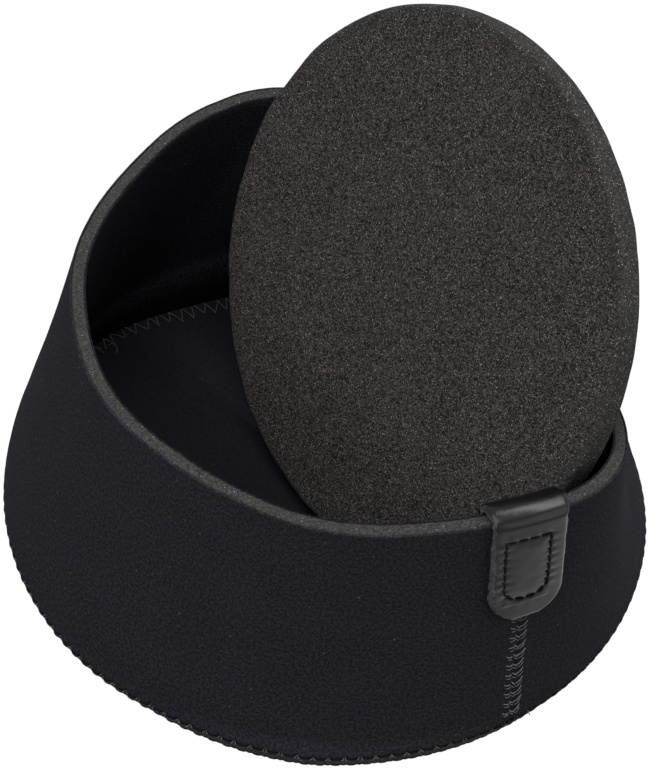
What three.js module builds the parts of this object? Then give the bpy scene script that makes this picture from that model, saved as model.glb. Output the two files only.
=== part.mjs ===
// Slip-over cap for a camera lens or its hood: a soft cup of jersey-faced foam rubber, a leather
// tab folded over its rim, and a loose foam disc that stands on edge in the mouth.
// Millimetres, +Z up. The origin is the centre of the base's underside.

import * as THREE from 'three';

const { degToRad, lerp } = THREE.MathUtils;

// Sheet: foam rubber with a knitted skin on both faces
const outerJerseyThickness = 0.4;
const coreThickness = 2.2;
const liningThickness = 0.4;
const sheetThickness = outerJerseyThickness + coreThickness + liningThickness;

// Base
const baseRadius = 62.5;

// Wall: one band sewn to the base, drawn in towards the mouth
const rimHeight = 54.4;
const wallTaper = 9.5;
const wallFlare = 0.5;
const mouthShift = new THREE.Vector2(-1.6, -1.7);

// The mouth is soft and cut by hand, so its radius and its height run in waves.
// Each row: crests round the mouth, size, azimuth of a crest
const mouthWaves = [
  [2, 3.6, degToRad(65.4)],
  [3, 2.13, degToRad(-40.7)],
  [4, 1.7, degToRad(-38.6)],
  [5, 1.76, degToRad(-27.5)],
  [6, 0.87, degToRad(-17.8)],
];
const rimWaves = [
  [1, 3.12, degToRad(-102.8)],
  [2, 1.96, degToRad(-83.3)],
  [3, 0.4, degToRad(58.5)],
  [4, 0.44, degToRad(40.1)],
  [5, 0.45, degToRad(28.8)],
];

// Side seam: the two ends of the band meet here
const sideSeamAzimuth = degToRad(-51.3);
const sideSeamGap = 0.3;

// Insert disc: in use it lies on the floor, inside the seam
const insertMargin = 7.9;
const insertRadius = baseRadius - sheetThickness - insertMargin;
const insertThickness = 5.6;
const insertEdgeRound = 1.8;
const insertLean = degToRad(65.8);
const insertAzimuth = degToRad(37.7);
const insertFoot = new THREE.Vector2(-4.7, -3.8);
const insertRest = 0.3;
const insertClearance = 0.5;

// Leather tab
const tabAzimuth = degToRad(-52.4);
const tabThickness = 1.6;
const tabWidth = 14;
const tabWaist = 13.4;
const tabOuterLeg = 25;
const tabInnerLeg = 24;
const tabCorner = 6.2;
const tabSkew = 0.95;
const tabFoldRise = 0.2;
const tabFoldPress = 0.85;
const tabGap = 0.3;

// Thread
const threadRadius = 0.3;
const threadGap = 0.3;
const threadBow = 0.8;
const baseSeamStitches = 120;
const baseSeamLow = 1.1;
const baseSeamHigh = 4.2;
const innerSeamStitches = 108;
const innerSeamReach = 2.6;
const sideSeamPitch = 2.6;
const sideSeamWidth = 3.4;
const boxStitchMargin = 2.8;
const boxStitchEnd = 4.6;
const boxStitchShift = 0.6;
const boxStitchTop = 3.2;
const boxStitchCorner = 3.4;

// Facets
const wallColumns = 72;
const wallRows = 5;
const baseSegments = 72;
const insertSegments = 64;

function radial(azimuth) {
  return new THREE.Vector3(Math.cos(azimuth), Math.sin(azimuth), 0);
}

// Insert: its disc plane leans back towards insertAzimuth, and its lowest edge stands on the floor.
const insertUp = radial(insertAzimuth)
  .multiplyScalar(Math.cos(insertLean))
  .add(new THREE.Vector3(0, 0, Math.sin(insertLean)));
const insertFace = radial(insertAzimuth)
  .multiplyScalar(-Math.sin(insertLean))
  .add(new THREE.Vector3(0, 0, Math.cos(insertLean)));
const insertSide = new THREE.Vector3().crossVectors(insertUp, insertFace);
const insertCentreHeight = sheetThickness + insertRest
  + insertRadius * insertUp.z + insertThickness / 2 * insertFace.z;
const insertCentre = new THREE.Vector3(insertFoot.x, insertFoot.y, 0)
  .addScaledVector(radial(insertAzimuth), insertRadius * Math.cos(insertLean))
  .setZ(insertCentreHeight);

function waveAt(azimuth, waves) {
  return waves.reduce((sum, [crests, size, crest]) => sum + size * Math.cos(crests * (azimuth - crest)), 0);
}

function rimHeightAt(azimuth) {
  return rimHeight + waveAt(azimuth, rimWaves);
}

// The mouth is an oval: the insert presses it open along its own width.
const stretchAzimuth = Math.atan2(insertSide.y, insertSide.x);

function stretchShape(azimuth) {
  return Math.cos(2 * (azimuth - stretchAzimuth));
}

// Outer radius of the wall, measured from its own centre line, for a mouth stretched by a given amount.
function wallRadius(azimuth, rise, stretch) {
  const mouth = baseRadius - wallTaper + waveAt(azimuth, mouthWaves) + stretch * stretchShape(azimuth);
  return lerp(baseRadius, mouth, rise) - wallFlare * 4 * rise * (1 - rise);
}

function riseAt(azimuth, height) {
  return (height - sheetThickness) / (rimHeightAt(azimuth) - sheetThickness);
}

function insideTab(azimuth, height) {
  const across = Math.abs(azimuth - tabAzimuth) * baseRadius;
  return across < tabWidth / 2 + tabSkew + tabGap
    && height > rimHeightAt(azimuth) - tabInnerLeg - tabGap;
}

// How far the mouth must stretch for the insert to stand in it and to lift out along its own plane.
function neededStretch() {
  const point = new THREE.Vector3();
  let most = 0;
  for (let lift = 0; lift < insertRadius; lift += 2) {
    for (let step = 0; step < 180; step += 1) {
      const angle = 2 * Math.PI * step / 180;
      for (const half of [-insertThickness / 2, insertThickness / 2]) {
        point.copy(insertCentre)
          .addScaledVector(insertUp, lift + insertRadius * Math.sin(angle))
          .addScaledVector(insertSide, insertRadius * Math.cos(angle))
          .addScaledVector(insertFace, half);
        const rise = riseAt(Math.atan2(point.y, point.x), point.z);
        if (rise <= 0 || rise > 1) continue;
        const x = point.x - mouthShift.x * rise;
        const y = point.y - mouthShift.y * rise;
        const azimuth = Math.atan2(y, x);
        if (stretchShape(azimuth) < 0.3) continue;
        const leather = insideTab(azimuth, point.z) ? tabThickness + tabGap : 0;
        const needed = Math.hypot(x, y) + insertClearance + leather + sheetThickness;
        const free = wallRadius(azimuth, rise, 0);
        most = Math.max(most, (needed - free) / (rise * stretchShape(azimuth)));
      }
    }
  }
  return most;
}

const mouthStretch = neededStretch();
const tabRadius = wallRadius(tabAzimuth, 1, mouthStretch);

// A point in the wall: rise runs from 0 on the base to 1 at the rim, depth goes in from the outer skin.
function wallPoint(azimuth, rise, depth) {
  const radius = wallRadius(azimuth, rise, mouthStretch) - depth;
  return radial(azimuth)
    .multiplyScalar(radius)
    .add(new THREE.Vector3(
      mouthShift.x * rise,
      mouthShift.y * rise,
      lerp(sheetThickness, rimHeightAt(azimuth), rise),
    ));
}

// Closed sheet between two grids: place(u, v, side) is on its outer face at side 0, its inner at side 1.
function sheetSolid(columns, rows, place) {
  const positions = [];
  const indices = [];
  const index = (column, row, side) => (side * (rows + 1) + row) * (columns + 1) + column;
  for (const side of [0, 1]) {
    for (let row = 0; row <= rows; row += 1) {
      for (let column = 0; column <= columns; column += 1) {
        positions.push(...place(column / columns, row / rows, side).toArray());
      }
    }
  }
  const quad = (a, b, c, d) => indices.push(a, b, c, a, c, d);
  for (let column = 0; column < columns; column += 1) {
    for (let row = 0; row < rows; row += 1) {
      quad(index(column, row, 0), index(column + 1, row, 0),
        index(column + 1, row + 1, 0), index(column, row + 1, 0));
      quad(index(column, row, 1), index(column, row + 1, 1),
        index(column + 1, row + 1, 1), index(column + 1, row, 1));
    }
    quad(index(column, 0, 1), index(column + 1, 0, 1), index(column + 1, 0, 0), index(column, 0, 0));
    quad(index(column, rows, 0), index(column + 1, rows, 0),
      index(column + 1, rows, 1), index(column, rows, 1));
  }
  for (let row = 0; row < rows; row += 1) {
    quad(index(0, row, 0), index(0, row + 1, 0), index(0, row + 1, 1), index(0, row, 1));
    quad(index(columns, row, 1), index(columns, row + 1, 1),
      index(columns, row + 1, 0), index(columns, row, 0));
  }
  const geometry = new THREE.BufferGeometry();
  geometry.setAttribute('position', new THREE.Float32BufferAttribute(positions, 3));
  geometry.setIndex(indices);
  return geometry;
}

// Thread laid along points: ups are the surface's outward directions there.
function threadSolid(points, ups, closed) {
  const sides = 4;
  const count = points.length;
  const positions = [];
  const indices = [];
  for (let i = 0; i < count; i += 1) {
    const before = points[closed ? (i + count - 1) % count : Math.max(i - 1, 0)];
    const after = points[closed ? (i + 1) % count : Math.min(i + 1, count - 1)];
    const into = new THREE.Vector3().subVectors(points[i], before).normalize();
    const out = new THREE.Vector3().subVectors(after, points[i]).normalize();
    const along = new THREE.Vector3().addVectors(into, out).normalize();
    const across = new THREE.Vector3().crossVectors(ups[i], along).normalize();
    const up = new THREE.Vector3().crossVectors(along, across);
    const bend = into.lengthSq() && out.lengthSq() ? Math.max(along.dot(out), 0.35) : 1;
    for (let side = 0; side < sides; side += 1) {
      const angle = 2 * Math.PI * side / sides;
      positions.push(...points[i].clone()
        .addScaledVector(across, threadRadius * Math.cos(angle) / bend)
        .addScaledVector(up, threadRadius * Math.sin(angle))
        .toArray());
    }
  }
  const spans = closed ? count : count - 1;
  for (let i = 0; i < spans; i += 1) {
    const next = (i + 1) % count;
    for (let side = 0; side < sides; side += 1) {
      const turn = (side + 1) % sides;
      indices.push(i * sides + side, i * sides + turn, next * sides + turn);
      indices.push(i * sides + side, next * sides + turn, next * sides + side);
    }
  }
  if (!closed) {
    const last = (count - 1) * sides;
    indices.push(0, 2, 1, 0, 3, 2);
    indices.push(last, last + 1, last + 2, last, last + 2, last + 3);
  }
  const geometry = new THREE.BufferGeometry();
  geometry.setAttribute('position', new THREE.Float32BufferAttribute(positions, 3));
  geometry.setIndex(indices);
  return geometry;
}

// One layer of the wall band, from a depth below the outer skin to a deeper one
function wallLayer(outerDepth, innerDepth) {
  const halfGap = sideSeamGap / 2 / baseRadius;
  return sheetSolid(wallColumns, wallRows, (u, v, side) => wallPoint(
    sideSeamAzimuth + lerp(halfGap, 2 * Math.PI - halfGap, u), v, side ? innerDepth : outerDepth,
  ));
}

// One round layer of the base, between two heights
function baseLayer(low, high) {
  const geometry = new THREE.CylinderGeometry(baseRadius, baseRadius, high - low, baseSegments);
  geometry.rotateX(Math.PI / 2);
  geometry.rotateZ(sideSeamAzimuth);
  geometry.translate(0, 0, (low + high) / 2);
  return geometry;
}

function insertSolid() {
  const flat = insertRadius - insertEdgeRound;
  const half = insertThickness / 2;
  const profile = new THREE.Path();
  profile.moveTo(0, -half);
  profile.lineTo(flat, -half);
  profile.absarc(flat, -half + insertEdgeRound, insertEdgeRound, -Math.PI / 2, 0, false);
  profile.absarc(flat, half - insertEdgeRound, insertEdgeRound, 0, Math.PI / 2, false);
  profile.lineTo(0, half);
  return new THREE.LatheGeometry(profile.getPoints(3), insertSegments);
}

// Tab: the strip runs up the outer leg, round the fold and down the inner leg.
const tabFoldInner = sheetThickness / 2 + tabGap;
const tabFoldArc = Math.PI * (tabFoldInner + tabThickness / 2);
const tabLength = tabOuterLeg + tabFoldArc + tabInnerLeg;

function tabHalfWidth(along) {
  const fromFold = Math.min(Math.abs(along - tabOuterLeg) / tabOuterLeg, 1);
  const half = lerp(tabWaist, tabWidth, Math.sin(fromFold * Math.PI / 2)) / 2;
  const end = Math.min(along, tabLength - along);
  const inset = Math.max(tabCorner - end, 0);
  return half - tabCorner + Math.sqrt(tabCorner ** 2 - inset ** 2);
}

// The strip is sewn on a little askew: its ends lie to one side of its fold.
function tabSkewAt(down) {
  return tabSkew * Math.max(down, -down - tabFoldArc, 0) / tabOuterLeg;
}

// The fold is pressed down on the rim, so it is lower than it is wide.
// A point of the tab: across runs from -1 to 1, along is measured from the outer leg's end,
// and lift is the height above the leather's inner face.
function tabPoint(across, along, lift) {
  const reach = across * tabHalfWidth(along) + tabSkewAt(tabOuterLeg - along);
  const azimuth = tabAzimuth + reach / tabRadius;
  const rimLine = rimHeightAt(azimuth) - sheetThickness;
  if (along <= tabOuterLeg) {
    const rise = 1 - (tabOuterLeg - along) / rimLine;
    return wallPoint(azimuth, rise, -tabGap - lift);
  }
  const down = along - tabOuterLeg - tabFoldArc;
  if (down >= 0) {
    return wallPoint(azimuth, 1 - down / rimLine, sheetThickness + tabGap + lift);
  }
  const turn = Math.PI * (along - tabOuterLeg) / tabFoldArc;
  const radius = tabFoldInner + lift;
  const point = wallPoint(azimuth, 1, sheetThickness / 2 - radius * Math.cos(turn));
  point.z += (tabGap + tabFoldInner * tabFoldRise + lift * tabFoldPress) * Math.sin(turn);
  return point;
}

function tabSolid() {
  const stops = [0, 0.4, 1.3, 2.6, tabCorner];
  const legSteps = 6;
  for (let i = 1; i <= legSteps; i += 1) stops.push(lerp(tabCorner, tabOuterLeg, i / legSteps));
  const foldSteps = 8;
  for (let i = 1; i <= foldSteps; i += 1) stops.push(tabOuterLeg + tabFoldArc * i / foldSteps);
  const innerSteps = 4;
  const innerEnd = tabLength - tabCorner;
  for (let i = 1; i <= innerSteps; i += 1) {
    stops.push(lerp(tabOuterLeg + tabFoldArc, innerEnd, i / innerSteps));
  }
  stops.push(tabLength - 2.6, tabLength - 1.3, tabLength - 0.4, tabLength);
  return sheetSolid(6, stops.length - 1, (u, v, side) => {
    const along = stops[Math.round(v * (stops.length - 1))];
    return tabPoint(2 * u - 1, along, side ? 0 : tabThickness);
  });
}

// Box of thread on one leg of the tab: side is 1 on the outer leg and -1 on the inner one
function boxStitch(side) {
  const outline = new THREE.Path();
  const half = tabWidth / 2 - boxStitchMargin;
  const low = boxStitchEnd - Math.min(tabOuterLeg, tabInnerLeg);
  outline.moveTo(-half, -boxStitchTop);
  outline.lineTo(-half, low + boxStitchCorner);
  outline.absarc(-half + boxStitchCorner, low + boxStitchCorner, boxStitchCorner,
    Math.PI, 1.5 * Math.PI, false);
  outline.absarc(half - boxStitchCorner, low + boxStitchCorner, boxStitchCorner,
    1.5 * Math.PI, 2 * Math.PI, false);
  outline.lineTo(half, -boxStitchTop);
  const points = [];
  const ups = [];
  const depth = side > 0
    ? -tabGap - tabThickness - threadGap - threadRadius
    : sheetThickness + tabGap + tabThickness + threadGap + threadRadius;
  for (const { x, y } of outline.getPoints(4)) {
    const azimuth = tabAzimuth + (x - boxStitchShift + tabSkewAt(-y)) / tabRadius;
    const rise = 1 + y / (rimHeightAt(azimuth) - sheetThickness);
    points.push(wallPoint(azimuth, rise, depth));
    ups.push(radial(azimuth).multiplyScalar(side));
  }
  return threadSolid(points, ups, true);
}

// Zigzag that closes the band's ends below the tab: side is 1 outside and -1 inside
function sideSeamStitch(side) {
  const points = [];
  const ups = [];
  const legEnd = side > 0 ? tabOuterLeg : tabInnerLeg;
  const top = rimHeight - legEnd - 2 * threadRadius - threadGap;
  const low = baseSeamHigh + 4 * threadRadius;
  const stitches = 2 * Math.round((top - low) / sideSeamPitch);
  const depth = side > 0 ? -threadGap - threadRadius : sheetThickness + threadGap + threadRadius;
  for (let i = 0; i <= stitches; i += 1) {
    const swing = (i % 2 ? 1 : -1) * sideSeamWidth / 2 / baseRadius;
    const azimuth = sideSeamAzimuth + swing;
    points.push(wallPoint(azimuth, riseAt(azimuth, lerp(low, top, i / stitches)), depth));
    ups.push(radial(azimuth).multiplyScalar(side));
  }
  return threadSolid(points, ups, false);
}

// Zigzag round the outside, from the base's edge up over the joint onto the wall
function baseSeamStitch() {
  const points = [];
  const ups = [];
  const away = threadGap + threadRadius;
  for (let i = 0; i < 2 * baseSeamStitches; i += 1) {
    const azimuth = sideSeamAzimuth + Math.PI * i / baseSeamStitches;
    const point = i % 2
      ? wallPoint(azimuth, riseAt(azimuth, baseSeamHigh), -away)
      : radial(azimuth).multiplyScalar(baseRadius + away + threadBow).setZ(baseSeamLow);
    points.push(point);
    ups.push(radial(azimuth));
  }
  return threadSolid(points, ups, true);
}

// The same seam inside, from the floor up onto the lining of the wall
function innerSeamStitch() {
  const points = [];
  const ups = [];
  const away = threadGap + threadRadius;
  const floor = sheetThickness + away;
  for (let i = 0; i < 2 * innerSeamStitches; i += 1) {
    const azimuth = sideSeamAzimuth + Math.PI * i / innerSeamStitches;
    const corner = wallPoint(azimuth, riseAt(azimuth, floor), sheetThickness + away);
    const point = i % 2
      ? wallPoint(azimuth, riseAt(azimuth, floor + innerSeamReach), sheetThickness + away)
      : corner.addScaledVector(radial(azimuth), -innerSeamReach).setZ(floor);
    points.push(point);
    ups.push(radial(azimuth).multiplyScalar(-1).setZ(1).normalize());
  }
  return threadSolid(points, ups, true);
}

function piece(name, geometry, colour, roughness) {
  const material = new THREE.MeshStandardMaterial({ color: colour, roughness, metalness: 0 });
  const mesh = new THREE.Mesh(geometry, material);
  mesh.name = name;
  return mesh;
}

const jerseyColour = 0x1e1e24;
const coreColour = 0x44443f;
const liningColour = 0x0c0c10;
const leatherColour = 0x3a3a3c;
const threadColour = 0x2b2b2f;
const foamColour = 0x37322f;

const cap = new THREE.Group();
const coreDepth = outerJerseyThickness + coreThickness;
const coreLow = outerJerseyThickness;
const coreHigh = coreLow + coreThickness;
cap.add(
  piece('wall_outer_jersey', wallLayer(0, outerJerseyThickness), jerseyColour, 0.9),
  piece('wall_core', wallLayer(outerJerseyThickness, coreDepth), coreColour, 0.95),
  piece('wall_lining', wallLayer(coreDepth, sheetThickness), liningColour, 0.9),
  piece('base_outer_jersey', baseLayer(0, coreLow), jerseyColour, 0.9),
  piece('base_core', baseLayer(coreLow, coreHigh), coreColour, 0.95),
  piece('base_lining', baseLayer(coreHigh, sheetThickness), liningColour, 0.9),
  piece('pull_tab', tabSolid(), leatherColour, 0.45),
  piece('tab_outer_stitching', boxStitch(1), threadColour, 0.7),
  piece('tab_inner_stitching', boxStitch(-1), threadColour, 0.7),
  piece('side_seam_outer_stitching', sideSeamStitch(1), threadColour, 0.7),
  piece('side_seam_inner_stitching', sideSeamStitch(-1), threadColour, 0.7),
  piece('base_seam_outer_stitching', baseSeamStitch(), threadColour, 0.7),
  piece('base_seam_inner_stitching', innerSeamStitch(), threadColour, 0.7),
);

const insert = new THREE.Group();
insert.position.copy(insertCentre);
insert.quaternion.setFromUnitVectors(new THREE.Vector3(0, 1, 0), insertFace);
insert.add(piece('foam_insert', insertSolid(), foamColour, 0.95));

const object = new THREE.Group();
object.add(cap, insert);

export default object;
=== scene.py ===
import math
from math import pi
import bmesh
import bpy
import numpy as np
from mathutils import Matrix, Vector


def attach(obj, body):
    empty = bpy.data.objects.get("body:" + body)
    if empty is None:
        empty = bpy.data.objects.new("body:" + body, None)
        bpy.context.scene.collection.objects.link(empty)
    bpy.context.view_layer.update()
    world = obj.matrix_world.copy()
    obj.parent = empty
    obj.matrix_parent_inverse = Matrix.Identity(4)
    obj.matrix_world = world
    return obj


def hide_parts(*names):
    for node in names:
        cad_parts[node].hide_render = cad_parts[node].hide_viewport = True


# Soft slip-over lens cap with a leather tab and a loose foam disc.
# Lengths of the pieces are millimetres, and makeObject turns them into metres.

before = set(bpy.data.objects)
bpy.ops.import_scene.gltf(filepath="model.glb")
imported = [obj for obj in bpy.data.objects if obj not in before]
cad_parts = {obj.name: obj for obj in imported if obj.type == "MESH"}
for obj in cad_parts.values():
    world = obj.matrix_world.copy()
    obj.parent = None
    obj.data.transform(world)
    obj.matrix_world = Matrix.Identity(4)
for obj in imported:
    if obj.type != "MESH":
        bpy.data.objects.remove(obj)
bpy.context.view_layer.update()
mm = 0.001
upward = np.array([0, 0, 1.0])
print("frame loaded")


# Helpers for shapes

def between(start, end, share):
    return start + (end - start) * share


def smoothStep(low, high, value):
    share = np.clip((value - low) / (high - low), 0, 1)
    return share * share * (3 - 2 * share)


def bell(distance, width, power=2):
    return np.exp(-(distance / width) ** power)


def asPoints(x, y=0.0, z=0.0):
    return np.stack(np.broadcast_arrays(x, y, z), -1)


def softNoise(points, size, seed):
    # smooth lumps of the given size, from -1 to 1, the same on every run
    place = points / size + 1000.0
    cell = np.floor(place).astype(np.int64)
    part = place - cell
    part = part * part * (3 - 2 * part)
    total = np.zeros(points.shape[:-1])
    for corner in np.ndindex(2, 2, 2):
        # large numbers scramble each corner's place into a value of its own
        at = (cell + np.array(corner)) * np.array([73856093, 19349663, 83492791])
        key = at[..., 0] ^ at[..., 1] ^ at[..., 2] ^ (seed * 2654435 + 12345)
        key = ((key ^ (key >> 13)) * 1274126177) & 0x7FFFFFFF
        key = key ^ (key >> 16)
        share = np.prod(np.where(np.array(corner) == 1, part, 1 - part), axis=-1)
        total += share * ((key % 65536) / 32767.5 - 1)
    return total


def gridFaces(rows, columns, closedRows, closedColumns):
    row = np.arange(rows if closedRows else rows - 1)
    column = np.arange(columns if closedColumns else columns - 1)
    row, column = np.meshgrid(row, column, indexing="ij")
    nextRow, nextColumn = (row + 1) % rows, (column + 1) % columns
    corners = [(row, column), (row, nextColumn), (nextRow, nextColumn), (nextRow, column)]
    return np.stack([r * columns + c for r, c in corners], -1).reshape(-1, 4)


def sweptFaces(rings, length):
    # closed sections joined in a row, with flat ends
    faces = gridFaces(rings, length, False, True).tolist()
    faces.append(list(range(length))[::-1])
    faces.append([(rings - 1) * length + i for i in range(length)])
    return faces


def newObject(name, data):
    obj = bpy.data.objects.new(name, data)
    bpy.context.scene.collection.objects.link(obj)
    return obj


def makeObject(name, points, faces, surfaces, body, node, places, faceKinds=None, weld=False):
    # surfaces are names of looks; places is a vector for each point, which they read as clothPlace
    mesh = bpy.data.meshes.new(name)
    mesh.from_pydata((points.reshape(-1, 3) * mm).tolist(), [], faces)
    kept = mesh.attributes.new("clothPlace", "FLOAT_VECTOR", "POINT")
    kept.data.foreach_set("vector", places.reshape(-1).astype(np.float32))
    if faceKinds is not None:
        mesh.polygons.foreach_set("material_index", np.asarray(faceKinds, np.int32))
    work = bmesh.new()
    work.from_mesh(mesh)
    if weld:
        bmesh.ops.remove_doubles(work, verts=work.verts, dist=1e-7)
    bmesh.ops.recalc_face_normals(work, faces=work.faces)
    work.to_mesh(mesh)
    work.free()
    mesh.polygons.foreach_set("use_smooth", np.ones(len(mesh.polygons), bool))
    obj = newObject(name, mesh)
    for surface in surfaces:
        mesh.materials.append(looks[surface])
    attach(obj, body)
    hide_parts(node)
    print("made", name, len(mesh.polygons), "faces")
    return obj


def makeSwept(name, points, surface, node, places):
    makeObject(name, points, sweptFaces(*points.shape[:2]), [surface], "cap", node, places)


def makeTurned(name, points, surface, body, node, places):
    # half sections that go all the way round and meet in the middle
    faces = gridFaces(*points.shape[:2], True, False).tolist()
    return makeObject(name, points, faces, [surface], body, node, places, weld=True)


# Helpers for materials

def newMaterial(name, colour, roughness, specular):
    material = bpy.data.materials.new(name)
    material.use_nodes = True
    shader = material.node_tree.nodes["Principled BSDF"]
    shader.inputs["Base Color"].default_value = (*colour, 1)
    shader.inputs["Roughness"].default_value = roughness
    shader.inputs["Specular IOR Level"].default_value = specular
    return material, material.node_tree, shader


def addNode(tree, kind, inputs=None, **settings):
    # inputs: socket name or number to a plain value or another node's output
    made = tree.nodes.new("ShaderNode" + kind)
    for key, value in settings.items():
        setattr(made, key, value)
    for key, value in (inputs or {}).items():
        if isinstance(value, bpy.types.NodeSocket):
            tree.links.new(value, made.inputs[key])
        else:
            made.inputs[key].default_value = value
    return made


def mathNode(tree, operation, first, second=0.0, third=0.0):
    return addNode(tree, "Math", {0: first, 1: second, 2: third}, operation=operation).outputs[0]


def times(tree, first, second):
    return mathNode(tree, "MULTIPLY", first, second)


def timesPlus(tree, first, second, third):
    return mathNode(tree, "MULTIPLY_ADD", first, second, third)


def mixColour(tree, share, low, high):
    made = addNode(tree, "Mix", data_type="RGBA")
    for socket, value in ((made.inputs[0], share), (made.inputs[6], low), (made.inputs[7], high)):
        if isinstance(value, bpy.types.NodeSocket):
            tree.links.new(value, socket)
        else:
            socket.default_value = (*value, 1)
    return made.outputs[2]


def tinted(colour, factor):
    return tuple(part * factor for part in colour)


def placeInMm(tree):
    # the piece's own coordinates in millimetres
    place = addNode(tree, "TexCoord").outputs["Object"]
    return addNode(tree, "VectorMath", {0: place, "Scale": 1000.0}, operation="SCALE").outputs[0]


def clothPlace(tree):
    return addNode(tree, "Attribute", attribute_name="clothPlace").outputs["Vector"]


def noise(tree, place, scale, detail=2.0, roughness=0.5):
    inputs = {"Vector": place, "Scale": scale, "Detail": detail, "Roughness": roughness}
    return addNode(tree, "TexNoise", inputs).outputs["Fac"]


def cellsAt(tree, place, scale):
    # the distance to the middle of the nearest cell, and that cell's three random numbers
    cells = addNode(tree, "TexVoronoi", {"Vector": place, "Scale": scale})
    picked = addNode(tree, "SeparateColor", {0: cells.outputs["Color"]})
    return cells.outputs["Distance"], picked.outputs


def ramp(tree, value, low, high):
    inputs = {0: value, 1: low, 2: high}
    return addNode(tree, "MapRange", inputs, interpolation_type="SMOOTHSTEP").outputs[0]


def setBump(tree, shader, height, strength, distance):
    bump = addNode(tree, "Bump", {"Height": height, "Strength": strength, "Distance": distance})
    tree.links.new(bump.outputs[0], shader.inputs["Normal"])


# Knitted cloth

knit = {
    "roughness": 0.85,
    "specular": 0.01,
    "sheen": 0.001,
    "wale": 0.42,  # width of one column of loops
    "course": 0.34,  # height of one loop
    "legLean": 2.4,  # how far a loop's legs lean, in radians of a course
    "rowWander": 3.0,  # how far the rows stray, in the same measure
    "grainShare": 0.75,
    "loopShare": 0.35,
    "cloudShare": 0.2,
    "bump": 0.00008,
    "lintColour": (0.11, 0.11, 0.12),
    "lintSize": 0.1,
    # each cloth: its colour, how much its tone varies, and the share of places with lint
    "jersey": {"colour": (0.0198, 0.0188, 0.0243), "contrast": 0.7, "lint": 0.2},
    "lining": {"colour": (0.0122, 0.0115, 0.0154), "contrast": 0.85, "lint": 0.04},
    "floor": {"colour": (0.0107, 0.0101, 0.0134), "contrast": 0.36, "lint": 0.04},
    "paintedShadeShare": 0.12,  # share of the wall lining's colour left under the painted shade down at the seam
    "paintedShadeHeights": (4.2, 8.2),
}


def knitMaterial(name, cloth, paintedShadeFoot=False):
    colour, contrast = cloth["colour"], cloth["contrast"]
    material, tree, shader = newMaterial(name, colour, knit["roughness"], knit["specular"])
    place = clothPlace(tree)
    split = addNode(tree, "SeparateXYZ", {0: place})
    across = times(tree, split.outputs[0], pi / knit["wale"])
    up = times(tree, split.outputs[1], 2 * pi / knit["course"])
    leg = mathNode(tree, "ABSOLUTE", mathNode(tree, "SINE", across))
    lean = timesPlus(tree, leg, knit["legLean"], up)
    lean = timesPlus(tree, noise(tree, place, 0.35), knit["rowWander"], lean)
    loop = timesPlus(tree, mathNode(tree, "SINE", lean), 0.5, 0.5)
    height = times(tree, loop, timesPlus(tree, leg, 0.7, 0.3))
    grain = noise(tree, place, 1.7, 3.0, 0.65)
    tone = timesPlus(tree, ramp(tree, grain, 0.36, 0.68), knit["grainShare"], -0.1)
    tone = timesPlus(tree, height, knit["loopShare"], tone)
    tone = timesPlus(tree, noise(tree, place, 0.09), knit["cloudShare"], tone)
    shade = mixColour(tree, tone, tinted(colour, 1 - 0.75 * contrast), tinted(colour, 1 + contrast))
    distance, picked = cellsAt(tree, place, 0.55)
    chosen = mathNode(tree, "LESS_THAN", picked[0], cloth["lint"])
    speck = times(tree, chosen, mathNode(tree, "LESS_THAN", distance, knit["lintSize"]))
    shade = mixColour(tree, times(tree, speck, picked[1]), shade, knit["lintColour"])
    if paintedShadeFoot:
        # painted shade: the wall lining's colour darkens towards its foot at the seam, where shade falls
        deep = mathNode(tree, "SUBTRACT", 1.0, ramp(tree, split.outputs[1], *knit["paintedShadeHeights"]))
        deep = times(tree, deep, 1 - knit["paintedShadeShare"])
        shade = mixColour(tree, deep, shade, (0.0, 0.0, 0.0))
    tree.links.new(shade, shader.inputs["Base Color"])
    shader.inputs["Sheen Weight"].default_value = knit["sheen"]
    shader.inputs["Sheen Roughness"].default_value = 0.5
    setBump(tree, shader, timesPlus(tree, grain, 0.5, height), 0.5, knit["bump"])
    return material


# Cut foam

disc = {
    "radius": 51.6,
    "thickness": 5.6,
    "edgeRound": 1.2,
    "lean": 65.8,
    "azimuth": 37.7,
    "centre": (12.036, 9.135, 51.513),
    "columns": 720,
    "cells": 0.02,  # how far the open cells roughen the face
    "warp": 0.25,
    "wander": 0.22,  # how far the cut edge strays
    "edgeBand": 6.0,  # width of the uneven band inside the edge
}

foam = {
    "roughness": 0.9,
    "specular": 0.06,
    "paintedGlintSize": 0.4,
    "paintedGlintGain": 14,
    "bump": 0.00012,
    # each cut: its colour, the size of its cells, how much they vary, and the share of cells with painted
    # glints
    "wallEdge": {"colour": (0.0352, 0.0352, 0.0335), "cell": 0.24, "contrast": 0.4, "paintedGlintShare": 0.01},
    "disc": {"colour": (0.0341, 0.0299, 0.0286), "cell": 0.21, "contrast": 0.95, "paintedGlintShare": 0.125},
    "discRimColour": (0.0315, 0.0305, 0.0296),
    "discRimWidth": 2.2,
}


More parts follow.
